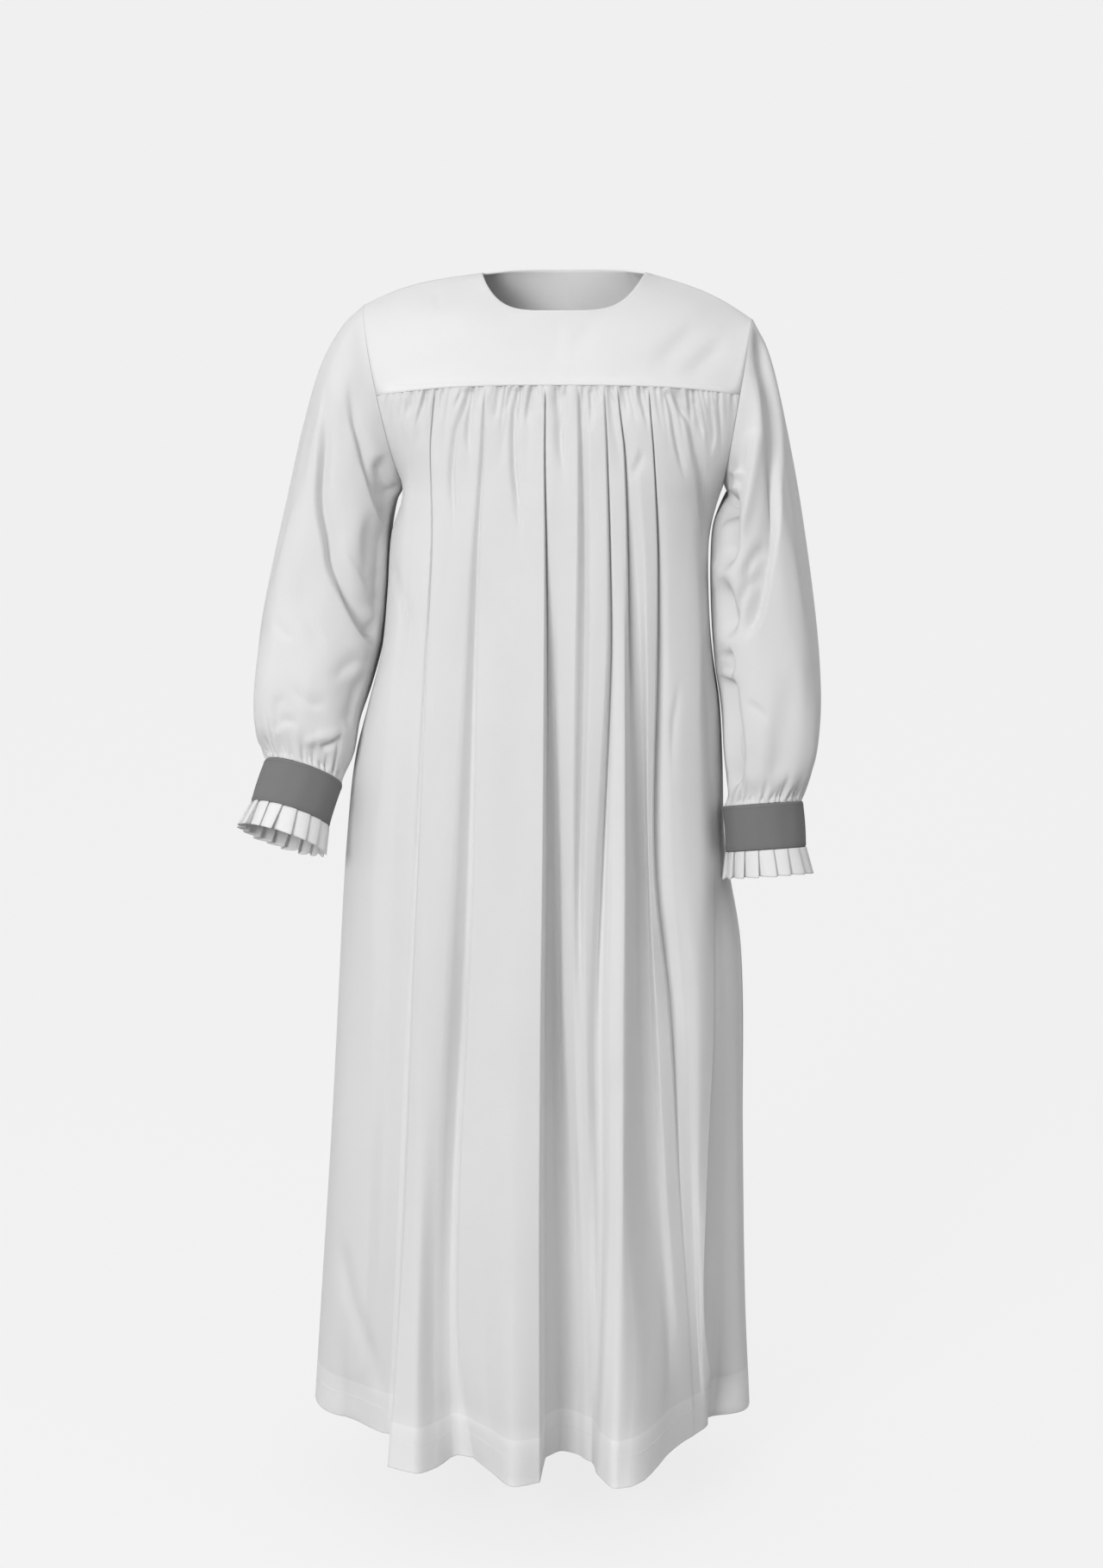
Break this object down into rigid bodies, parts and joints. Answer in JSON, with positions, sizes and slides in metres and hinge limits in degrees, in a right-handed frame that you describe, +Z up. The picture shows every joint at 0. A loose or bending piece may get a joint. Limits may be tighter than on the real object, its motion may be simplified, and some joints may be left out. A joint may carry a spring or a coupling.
{
  "type": "rochet",
  "caption": "Long white gathered rochet, worn: flat doubled yoke, round neck, folded skirt, full sleeves in grey bands with pleated frills.",
  "frame": {"origin": "middle of the neck hole at the height where the wearer's shoulders carry the yoke, at the mount named shoulders", "axes": "+X towards the wearer's left side, -Y towards the front, +Z up along the hanging cloth"},
  "size_m": [0.6421, 0.4884, 1.314],
  "materials": {
    "white_cotton": "matt plain-weave white linen-cotton, single layer",
    "doubled_cotton": "matt plain-weave white linen-cotton, two layers, pressed flat",
    "grey_band": "matt mid grey cotton",
    "frill_cotton": "matt white cotton, knife pleated"
  },
  "bodies": {
    "root": {"yoke_front": "doubled_cotton", "yoke_back": "doubled_cotton", "body_front": "white_cotton", "body_back": "white_cotton", "sleeve_left": "white_cotton", "sleeve_right": "white_cotton", "cuff_left": "grey_band", "cuff_right": "grey_band", "frill_left": "frill_cotton", "frill_right": "frill_cotton"}
  },
  "joints": []
}
